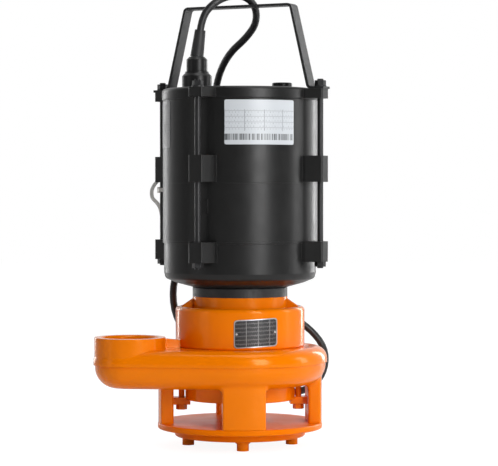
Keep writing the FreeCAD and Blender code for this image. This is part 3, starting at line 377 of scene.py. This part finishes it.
def dress_nodes(kinds):
    """Finish of each CAD node."""
    dress(kinds["plate"], "floor_plate", "base_plate")
    dress(kinds["orange"], "stub_feet", "volute_casing", "suction_cover", "oil_housing", "oil_plug",
          "cover_bolts")
    dress(kinds["zinc"], "leg_screws", "housing_screws", "bracket_screws")
    dress(kinds["plastic"], "motor_bowl", "mid_shell", "upper_shell", "top_cap", "gland_base", "gland_nut",
          "vent_plug")
    dress(kinds["dark_casting"], "bearing_bracket")
    dress(kinds["dark_steel"], "tie_rods", "rod_nuts_lower", "rod_nuts_upper", "rod_washers",
          "lifting_handle")
    dress(kinds["rubber"], "cover_seal", "housing_seal", "shell_seals", "gland_seal", "cable_boot",
          "seal_bellows", "lip_seal", "cable_plug")
    dress(kinds["steel"], "shaft", "impeller_key", "impeller_nut", "lower_bearing_outer",
          "lower_bearing_inner", "lower_bearing_balls", "upper_bearing_outer", "upper_bearing_inner",
          "upper_bearing_balls")
    dress(kinds["iron"], "impeller")
    dress(kinds["core"], "rotor_core", "stator_core")
    dress(kinds["copper"], "lower_winding", "upper_winding")
    dress(kinds["aluminium"], "rotor_rings", "stator_frame", "upper_bracket")
    dress(kinds["brass"], "plug_pins")
    dress(kinds["ceramic"], "seal_seat", "seal_face")
    dress(kinds["cream"], "terminal_block")
    dress(kinds["white"], "run_capacitor", "cable_ties")
    dress(kinds["cable"], "cable_lead", "cable_coil", "cable_tail")


# Plates

def plate_point(radius, turns, heights, u, v, tilt):
    """Point on a plate that wraps a cylinder; u and v run from 0 to 1."""
    turn = turns[0] + (turns[1] - turns[0]) * u
    wide = math.radians(turns[1] - turns[0]) * radius
    z = heights[0] + (heights[1] - heights[0]) * v + tilt * wide * (u - 0.5)
    return place(radius, turn, z)


def wrapped_plate(name, radius, thick, turns, heights, material, corner=sticker_corner, tilt=0.0):
    """Thin closed plate on a cylinder, with rounded corners and its own UV map."""
    wide = math.radians(turns[1] - turns[0]) * radius
    tall = heights[1] - heights[0]
    across = plate_columns
    up = plate_rows
    mesh = bmesh.new()
    uv = mesh.loops.layers.uv.new("plate")
    grids = []
    for r in (radius, radius + thick):
        grid = []
        for j in range(up + 1):
            row = []
            for i in range(across + 1):
                x, y = rounded_spot(i / across * wide, j / up * tall, wide, tall, corner)
                row.append((mesh.verts.new(plate_point(r, turns, heights, x / wide, y / tall, tilt)),
                            (x / wide, y / tall)))
            grid.append(row)
        grids.append(grid)
    for level, grid in enumerate(grids):
        for j in range(up):
            for i in range(across):
                quad = [grid[j][i], grid[j][i + 1], grid[j + 1][i + 1], grid[j + 1][i]]
                add_face(mesh, uv, quad if level else quad[::-1])
    rim = [(0, i) for i in range(across)] + [(j, across) for j in range(up)]
    rim += [(up, across - i) for i in range(across)] + [(up - j, 0) for j in range(up)]
    for k, (j, i) in enumerate(rim):
        jj, ii = rim[(k + 1) % len(rim)]
        add_face(mesh, uv, [grids[0][j][i], grids[0][jj][ii], grids[1][jj][ii], grids[1][j][i]])
    return mesh_piece(name, mesh, material)


def rounded_spot(x, y, wide, tall, corner):
    """Pull a grid point in so that the grid's corners are round."""
    cx = min(max(x, corner), wide - corner)
    cy = min(max(y, corner), tall - corner)
    dx = x - cx
    dy = y - cy
    reach = math.hypot(dx, dy)
    most = max(abs(dx), abs(dy))
    if reach > 0 and dx and dy:
        return cx + dx * most / reach, cy + dy * most / reach
    return x, y


def add_face(mesh, uv, corners):
    """Flat face; each corner is a vertex and its place on the plate."""
    face = mesh.faces.new([c[0] for c in corners])
    for loop, corner in zip(face.loops, corners):
        loop[uv].uv = corner[1]
    face.smooth = False


def mesh_piece(name, mesh, material, smooth=None):
    """Piece of the still pump; smooth is the angle over which an edge stays sharp."""
    data = bpy.data.meshes.new(name)
    bmesh.ops.recalc_face_normals(mesh, faces=mesh.faces)
    mesh.to_mesh(data)
    mesh.free()
    if smooth is not None:
        data.set_sharp_from_angle(angle=math.radians(smooth))
    data.materials.append(material)
    piece = bpy.data.objects.new(name, data)
    scene.collection.objects.link(piece)
    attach(piece, "root")
    return piece


def between(tree, height, low, high):
    """One where a height lies between two levels."""
    tests = []
    for operation, level in (("GREATER_THAN", low), ("LESS_THAN", high)):
        test = tree.nodes.new("ShaderNodeMath")
        test.operation = operation
        test.inputs[1].default_value = level
        tree.links.new(height, test.inputs[0])
        tests.append(test.outputs["Value"])
    both = tree.nodes.new("ShaderNodeMath")
    both.operation = "MULTIPLY"
    tree.links.new(tests[0], both.inputs[0])
    tree.links.new(tests[1], both.inputs[1])
    return both.outputs["Value"]


def feed(tree, socket, given):
    """Link a socket to another one, or set its value."""
    if isinstance(given, bpy.types.NodeSocket):
        tree.links.new(given, socket)
    else:
        socket.default_value = given


def blend(tree, factor, under, over, how="MIX"):
    node = tree.nodes.new("ShaderNodeMix")
    node.data_type = "RGBA"
    node.blend_type = how
    for name, given in (("Factor", factor), ("A", under), ("B", over)):
        feed(tree, node.inputs[name], given)
    return node.outputs["Result"]


def cells(tree, coords, size, colours, gap=0.0, offset=0.0, bias=0.0):
    """Cells in rows; the colours are those of the two kinds of cell and of the gaps."""
    node = tree.nodes.new("ShaderNodeTexBrick")
    node.offset = offset
    for name, value in (("Scale", 1.0), ("Brick Width", size[0]), ("Row Height", size[1]),
                        ("Mortar Size", gap), ("Mortar Smooth", 0.1), ("Bias", bias)):
        node.inputs[name].default_value = value
    for name, colour in zip(("Color1", "Color2", "Mortar"), colours):
        node.inputs[name].default_value = (*colour, 1)
    tree.links.new(coords, node.inputs["Vector"])
    return node.outputs["Color"]


def ruled(name, paper, ink, faint, rough, rows, levels, bars=None):
    """Blank table between two levels: thin rules with short marks, and bars near its foot if asked."""
    made = bpy.data.materials.new(name)
    made.use_nodes = True
    tree = made.node_tree
    shader = tree.nodes["Principled BSDF"]
    uv = tree.nodes.new("ShaderNodeUVMap")
    uv.uv_map = "plate"
    flat = uv.outputs["UV"]
    split = tree.nodes.new("ShaderNodeSeparateXYZ")
    tree.links.new(flat, split.inputs["Vector"])
    height = split.outputs["Y"]
    pale = sum(paper) > 1
    blank = (1, 1, 1) if pale else (0, 0, 0)
    rules = cells(tree, flat, (column_share, 1 / rows), (paper, paper, ink), rule_share)
    marks = cells(tree, flat, (mark_share, 0.5 / rows), (blank, faint, blank), mark_gap, mark_offset,
                  mark_bias)
    table = blend(tree, 1.0, rules, marks, "MULTIPLY" if pale else "SCREEN")
    shown = blend(tree, between(tree, height, *levels), (*paper, 1), table)
    if bars is not None:
        stripes = cells(tree, flat, (bar_share, 1.0), (bars, paper, bars))
        shown = blend(tree, between(tree, height, *bar_levels), shown, stripes)
    tree.links.new(shown, shader.inputs["Base Color"])
    coords = tree.nodes.new("ShaderNodeTexCoord").outputs["Object"]
    tree.links.new(spread(tree, noise(tree, coords, 60.0), *rough), shader.inputs["Roughness"])
    tree.links.new(bumped(tree, noise(tree, coords, 1400.0), 0.00001), shader.inputs["Normal"])
    return made


def border_strip(name, radius, thick, turns, heights, width, material, tilt, corner):
    """Raised frame round a plate."""
    wide = math.radians(turns[1] - turns[0]) * radius
    tall = heights[1] - heights[0]
    shares = [i / border_steps for i in range(border_steps)]
    outer = [(a, 0.0) for a in shares] + [(1.0, a) for a in shares]
    outer += [(1 - a, 1.0) for a in shares] + [(0.0, 1 - a) for a in shares]
    mesh = bmesh.new()
    rings = []
    for inset, r in ((0.0, radius), (0.0, radius + thick), (width, radius + thick), (width, radius)):
        ring = []
        for u, v in outer:
            x, y = rounded_spot(u * wide, v * tall, wide, tall, corner)
            x = inset + x / wide * (wide - 2 * inset)
            y = inset + y / tall * (tall - 2 * inset)
            ring.append(mesh.verts.new(plate_point(r, turns, heights, x / wide, y / tall, tilt)))
        rings.append(ring)
    for a, b in zip(rings, rings[1:] + rings[:1]):
        for i in range(len(a)):
            j = (i + 1) % len(a)
            mesh.faces.new([a[i], a[j], b[j], b[i]])
    return mesh_piece(name, mesh, material)


def rating_plates(kinds):
    """Two stickers on the jacket and the riveted plate on the bell."""
    pale = ruled("pale_table", (0.58, 0.61, 0.64), (0.36, 0.38, 0.41), (0.2, 0.22, 0.25), (0.3, 0.4),
                 rows=8.0, levels=(0.30, 0.78), bars=(0.06, 0.065, 0.07))
    # Side label: the pale sticker's table painted dark grey, paper, rules and marks alike, as painted shade
    # for the side turned from the light
    shaded_side = ruled("painted_shade_table", (0.11, 0.11, 0.115), (0.09, 0.09, 0.095), (0.08, 0.08, 0.085), (0.35, 0.45),
                 rows=8.0, levels=(0.30, 0.78))
    dark = ruled("dark_table", (0.02, 0.02, 0.022), (0.3, 0.3, 0.3), (0.42, 0.42, 0.42), (0.3, 0.4),
                 rows=7.0, levels=(0.03, 0.96))
    jacket = jacket_radius + plate_gap
    upper = wrapped_plate("rating_label", jacket, sticker_thick, rating_turns, rating_heights, pale)
    # The side label takes the painted-shade copy of the pale table
    side = wrapped_plate("side_label", jacket, sticker_thick, side_turns, side_heights, shaded_side)
    turns = nameplate_turns
    heights = nameplate_heights
    tilt = nameplate_tilt
    lower = wrapped_plate("nameplate", bell_radius + plate_gap, nameplate_thick, turns, heights, dark,
                          nameplate_corner, tilt)
    frame_strip = border_strip("nameplate_border", bell_radius + border_gap, border_thick, turns, heights,
                               border_width, kinds["silver"], tilt, nameplate_corner)
    for i, (u, v) in enumerate(rivet_places):
        spot = plate_point(bell_radius + rivet_gap, turns, heights, u, v, tilt)
        way = Vector((spot.x, spot.y, 0))
        rivet = domed("rivet_" + str(i), spot, way, rivet_radius, rivet_height, kinds["silver"])


# Small pieces

def domed(name, base, way, radius, height, material):
    """Low round head that stands on a surface."""
    way = way.normalized()
    side = way.orthogonal().normalized()
    other = way.cross(side)
    mesh = bmesh.new()
    around = 20
    rings = []
    for share, lift in ((1.0, -0.2), (1.0, 0.35), (0.8, 0.75), (0.45, 0.96)):
        ring = []
        for i in range(around):
            a = 2 * math.pi * i / around
            out = (side * math.cos(a) + other * math.sin(a)) * radius * share * mm
            ring.append(mesh.verts.new(base + out + way * height * lift * mm))
        rings.append(ring)
    for low, high in zip(rings, rings[1:]):
        for i in range(around):
            mesh.faces.new([low[i], low[(i + 1) % around], high[(i + 1) % around], high[i]])
    mesh.faces.new(rings[0][::-1])
    mesh.faces.new(rings[-1])
    return mesh_piece(name, mesh, material, smooth=40)


def screw_thread(name, spot, levels, radius, depth, pitch, material):
    """Ridge of a thread that winds round an upright cylinder; a negative depth faces inwards."""
    mesh = bmesh.new()
    count = int((levels[1] - levels[0] - pitch) / pitch * thread_steps)
    foot = radius - math.copysign(thread_sunk, depth)
    rings = []
    for k in range(count + 1):
        a = 2 * math.pi * k / thread_steps
        z = levels[0] + pitch * k / thread_steps
        fade = min(1.0, k / thread_fade_steps, (count - k) / thread_fade_steps)
        crest = radius + depth * fade
        ring = []
        for r, lift in ((foot, 0.04), (crest, pitch * 0.42), (crest, pitch * 0.54), (foot, pitch * 0.92)):
            point = Vector((spot[0] + r * math.cos(a), spot[1] + r * math.sin(a), z + lift))
            ring.append(mesh.verts.new(point * mm))
        rings.append(ring)
    for low, high in zip(rings, rings[1:]):
        for i in range(4):
            mesh.faces.new([low[i], low[(i + 1) % 4], high[(i + 1) % 4], high[i]])
    mesh.faces.new(rings[0])
    mesh.faces.new(rings[-1][::-1])
    return mesh_piece(name, mesh, material, smooth=30)


def threads(kinds):
    """Thread at both ends of each tie rod, and in the discharge port."""
    for i, turn in enumerate(rod_turns):
        spot = place(rod_circle, turn) / mm
        upper = (rod_tops[i] - rod_stub + thread_margin, rod_tops[i] - thread_margin)
        lower = (rod_low + thread_margin, rod_low + rod_stub - thread_margin)
        for j, levels in enumerate((upper, lower)):
            ridge = screw_thread("rod_thread_" + str(i) + str(j), spot, levels, rod_radius, rod_thread_depth,
                                 rod_thread_pitch, kinds["dark_steel"])
    ridge = screw_thread("port_thread", port_spot, port_levels, port_thread, port_thread_depth,
                         port_thread_pitch, kinds["orange"])


def ribbon(name, points, across, thick, material):
    """Flat strap along a run of points, its width along one direction."""
    mesh = bmesh.new()
    spots = [Vector(p) * mm for p in points]
    flat = Vector(across).normalized()
    rings = []
    for i, spot in enumerate(spots):
        way = (spots[min(i + 1, len(spots) - 1)] - spots[max(i - 1, 0)]).normalized()
        wide = (flat - way * flat.dot(way)).normalized()
        out = way.cross(wide)
        half = tie_width / 2 * mm
        ring = []
        for x, y in ((-1, -1), (1, -1), (1, 1), (-1, 1)):
            ring.append(mesh.verts.new(spot + wide * x * half + out * y * thick / 2 * mm))
        rings.append(ring)
    for low, high in zip(rings, rings[1:]):
        for i in range(4):
            mesh.faces.new([low[i], low[(i + 1) % 4], high[(i + 1) % 4], high[i]])
    mesh.faces.new(rings[0][::-1])
    mesh.faces.new(rings[-1])
    return mesh_piece(name, mesh, material, smooth=40)


def smooth_run(points, steps=6):
    """More points on a rounded line through the given ones."""
    ends = [points[0]] + list(points) + [points[-1]]
    run = []
    for a, b, c, d in zip(ends, ends[1:], ends[2:], ends[3:]):
        for i in range(steps):
            t = i / steps
            run.append([0.5 * (2 * q + (r - p) * t + (2 * p - 5 * q + 4 * r - w) * t * t
                               + (3 * q - p - 3 * r + w) * t ** 3) for p, q, r, w in zip(a, b, c, d)])
    return run + [list(points[-1])]


def tie_ends(kinds):
    """Heads of both ties, and the free end of the left one."""
    free = ribbon("tie_free_end", smooth_run(tie_end_route), tie_facing, tie_thick, kinds["white"])
    for i, spot in enumerate(tie_heads):
        mesh = bmesh.new()
        bmesh.ops.create_cube(mesh, size=1)
        for v in mesh.verts:
            v.co = Vector(spot) * mm + Vector([c * side for c, side in zip(v.co, tie_head_size)]) * mm
        mesh.normal_update()
        top = [f for f in mesh.faces if f.normal.z > 0.9]
        bmesh.ops.inset_region(mesh, faces=top, thickness=tie_head_wall * mm)
        for v in top[0].verts:
            v.co.z -= tie_head_slot * mm
        head = mesh_piece("tie_head_" + str(i), mesh, kinds["white"], smooth=35)


# Stage

floor_size = 14.0
floor_glow = 1.22
floor_glow_share = 0.75    # of what the camera sees; the rest keeps the shadow
surround_low = 0.07
surround_high = 0.9


def floor_material():
    """Pale floor, nearly white to the camera."""
    made = bpy.data.materials.new("pale_floor")
    made.use_nodes = True
    tree = made.node_tree
    shader = tree.nodes["Principled BSDF"]
    shader.inputs["Base Color"].default_value = (0.86, 0.86, 0.86, 1)
    shader.inputs["Roughness"].default_value = 0.6
    glow = tree.nodes.new("ShaderNodeEmission")
    glow.inputs["Strength"].default_value = floor_glow
    path = tree.nodes.new("ShaderNodeLightPath")
    share = tree.nodes.new("ShaderNodeMath")
    share.operation = "MULTIPLY"
    share.inputs[1].default_value = floor_glow_share
    mix = tree.nodes.new("ShaderNodeMixShader")
    tree.links.new(path.outputs["Is Camera Ray"], share.inputs[0])
    tree.links.new(share.outputs["Value"], mix.inputs["Fac"])
    tree.links.new(shader.outputs["BSDF"], mix.inputs[1])
    tree.links.new(glow.outputs["Emission"], mix.inputs[2])
    tree.links.new(mix.outputs["Shader"], tree.nodes["Material Output"].inputs["Surface"])
    return made


def add_floor():
    bpy.ops.mesh.primitive_plane_add(size=floor_size, location=(0, 0, 0))
    floor = bpy.context.object
    floor.name = "floor"
    floor.data.materials.append(floor_material())


def add_surround():
    """World that is white to the camera and, for all else, bright behind the pump and dim before it."""
    world = bpy.data.worlds.new("surround")
    scene.world = world
    world.use_nodes = True
    tree = world.node_tree
    back = tree.nodes["Background"]
    back.inputs["Color"].default_value = (1, 1, 1, 1)
    path = tree.nodes.new("ShaderNodeLightPath")
    coords = tree.nodes.new("ShaderNodeTexCoord")
    split = tree.nodes.new("ShaderNodeSeparateXYZ")
    tree.links.new(coords.outputs["Generated"], split.inputs["Vector"])
    around = tree.nodes.new("ShaderNodeMapRange")
    around.inputs["From Min"].default_value = -0.1
    around.inputs["From Max"].default_value = 0.75
    around.inputs["To Min"].default_value = surround_low
    around.inputs["To Max"].default_value = surround_high
    tree.links.new(split.outputs["Y"], around.inputs["Value"])
    seen = tree.nodes.new("ShaderNodeMath")
    seen.operation = "MAXIMUM"
    tree.links.new(path.outputs["Is Camera Ray"], seen.inputs[0])
    tree.links.new(around.outputs["Result"], seen.inputs[1])
    tree.links.new(seen.outputs["Value"], back.inputs["Strength"])


def softbox(name, spot, aim, size, power):
    """Soft rectangular light that faces a point; size in metres, power in watts."""
    data = bpy.data.lights.new(name, "AREA")
    data.shape = "RECTANGLE"
    data.size = size[0]
    data.size_y = size[1]
    data.energy = power
    light = bpy.data.objects.new(name, data)
    scene.collection.objects.link(light)
    light.location = spot
    light.rotation_euler = (Vector(aim) - Vector(spot)).to_track_quat("-Z", "Y").to_euler()


def add_lights():
    middle = (0, 0, 0.28)
    softbox("key", (1.05, -1.85, 1.0), middle, (0.7, 1.7), 34)
    softbox("right_side", (2.3, 0.1, 0.8), middle, (0.5, 1.4), 12)
    softbox("right_edge", (1.3, 1.75, 0.6), middle, (0.25, 1.3), 9)
    softbox("left_edge", (-1.3, 1.75, 0.5), middle, (0.2, 1.2), 6)
    softbox("fill", (-2.0, -0.9, 0.7), middle, (0.7, 1.4), 2.5)
    softbox("top", (0.3, -0.2, 2.2), middle, (1.2, 1.2), 13)


add_camera()
add_floor()
add_surround()
add_lights()
finish_kinds = finishes()
dress_nodes(finish_kinds)
supply_cable(finish_kinds)
rating_plates(finish_kinds)
threads(finish_kinds)
tie_ends(finish_kinds)

scene.view_settings.view_transform = "Standard"
